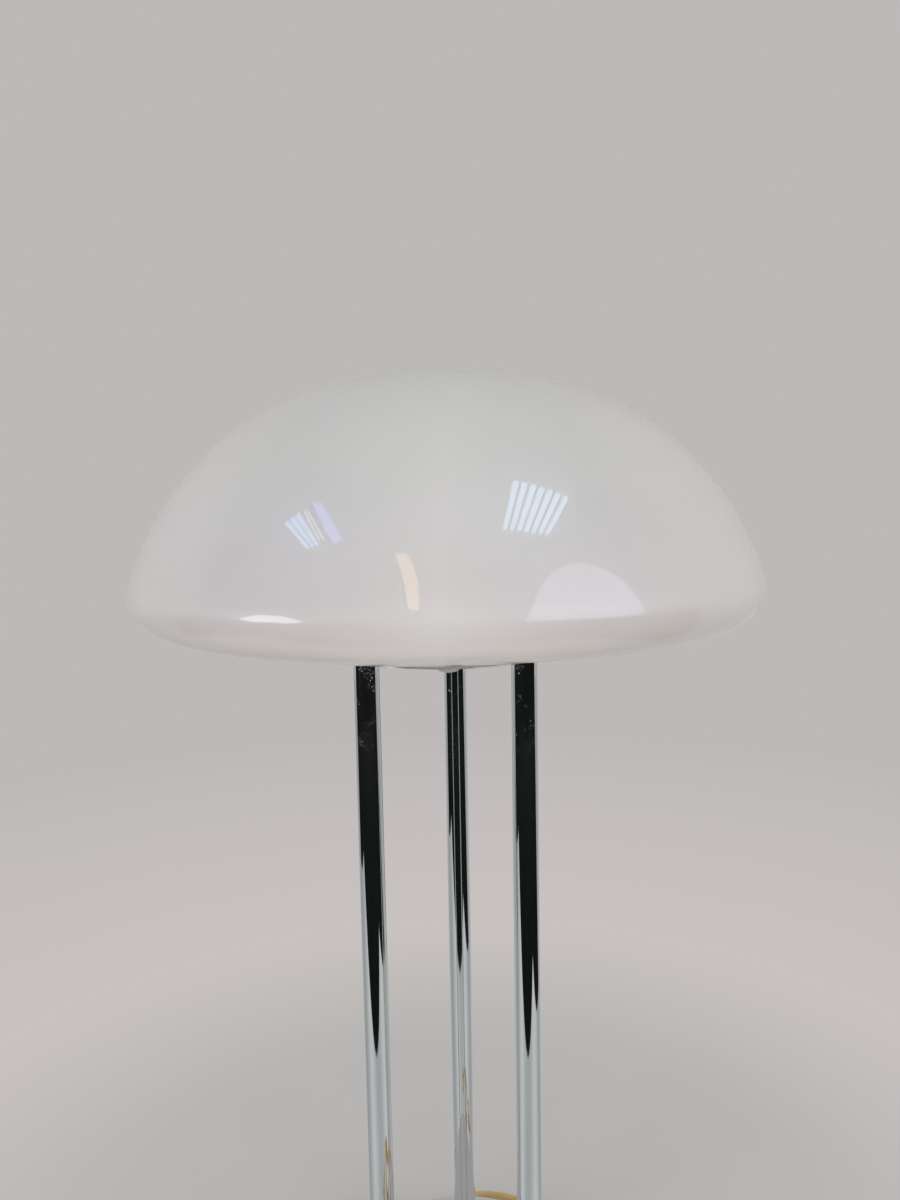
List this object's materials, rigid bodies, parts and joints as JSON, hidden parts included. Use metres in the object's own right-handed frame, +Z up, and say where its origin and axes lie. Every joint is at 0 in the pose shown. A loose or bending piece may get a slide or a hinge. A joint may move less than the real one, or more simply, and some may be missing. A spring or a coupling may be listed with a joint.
{
  "type": "table lamp",
  "caption": "Mushroom table lamp: a low domed opal glass shade on slender chrome tubes over a round weighted base, with a cord, rocker switch and flat plug.",
  "frame": {"origin": "middle of the round base, on the table", "axes": "+Z up through the middle of the shade, +Y towards the tube at the back, +X to the right of a viewer in front"},
  "size_m": [0.3799, 0.3798, 0.66],
  "materials": {
    "opal_glass": "glossy milky glass",
    "frosted_glass": "satin inside",
    "chrome": "polished, faintly pitted",
    "zinc_steel": "satin zinc",
    "nickel": "satin nickel",
    "grey_metal": "satin",
    "cap_metal": "satin",
    "brass": "satin",
    "cast_iron": "rough casting",
    "felt": "pressed felt",
    "gold_pvc": "clear gold tint over twisted strands",
    "gold_plastic": "gold tinted, glossy",
    "white_plastic": "matte",
    "white_pvc": "matte",
    "wire_pvc": "matte",
    "ivory_plastic": "moulded, glossy",
    "white_ceramic": "glazed ceramic look",
    "black_insulator": "glassy black",
    "black_plastic": "matte",
    "clear_rubber": "cloudy clear"
  },
  "bodies": {
    "lamp": {"felt_pad": "felt", "floor_plate": "zinc_steel", "floor_screws": "zinc_steel", "base_weight": "cast_iron", "base_cover": "chrome", "lower_washers": "zinc_steel", "lower_nuts": "brass", "lower_nipples": "zinc_steel", "cord_relief": "gold_plastic", "cord_clamp": "white_plastic", "clamp_screws": "zinc_steel", "terminal_block": "white_plastic", "terminal_tubes": "brass", "terminal_screws": "zinc_steel", "inner_cord": "gold_pvc", "supply_wires": "wire_pvc", "lamp_wires": "wire_pvc", "holder_lead": "white_pvc", "tube_back": "chrome", "tube_left": "chrome", "tube_right": "chrome", "lower_bushes": "zinc_steel", "upper_bushes": "zinc_steel", "upper_nipples": "zinc_steel", "carrier_plate": "chrome", "upper_washers": "zinc_steel", "upper_nuts": "chrome", "rim_gasket": "clear_rubber", "holder_nipple": "zinc_steel", "holder_washer": "zinc_steel", "holder_nut": "zinc_steel", "nipple_cap": "grey_metal", "holder_cap": "ivory_plastic", "holder_insert": "white_ceramic", "holder_shell": "brass", "holder_contact": "brass", "holder_sleeve": "ivory_plastic", "cord_lead": "gold_pvc", "switch_base": "gold_plastic", "switch_cover": "gold_plastic", "switch_pin": "zinc_steel", "switch_screws": "zinc_steel", "switch_terminals": "brass", "cord_link": "gold_pvc", "cord_coil": "gold_pvc", "cord_tie": "black_plastic", "cord_tail": "gold_pvc", "plug_body": "gold_plastic", "plug_pins": "nickel", "plug_sleeves": "black_plastic"},
    "shade": {"glass_shade": "opal_glass"},
    "bulb": {"bulb_glass": "frosted_glass", "bulb_cap": "cap_metal", "bulb_insulator": "black_insulator", "bulb_contact": "cap_metal"},
    "rocker": {"switch_rocker": "ivory_plastic"}
  },
  "joints": [
    {"name": "shade_lift", "type": "slide", "parent": "lamp", "child": "shade", "axis": [0, 0, 1], "range_m": [0, 0.16]},
    {"name": "bulb_unscrew", "type": "slide", "parent": "lamp", "child": "bulb", "axis": [0, 0, 1], "range_m": [0, 0.022]},
    {"name": "switch_rocker", "type": "hinge", "parent": "lamp", "child": "rocker", "pos_m": [0.1515, -0.024, 0.0115], "axis": [-1, 0, 0], "range_deg": [0, 16]}
  ]
}
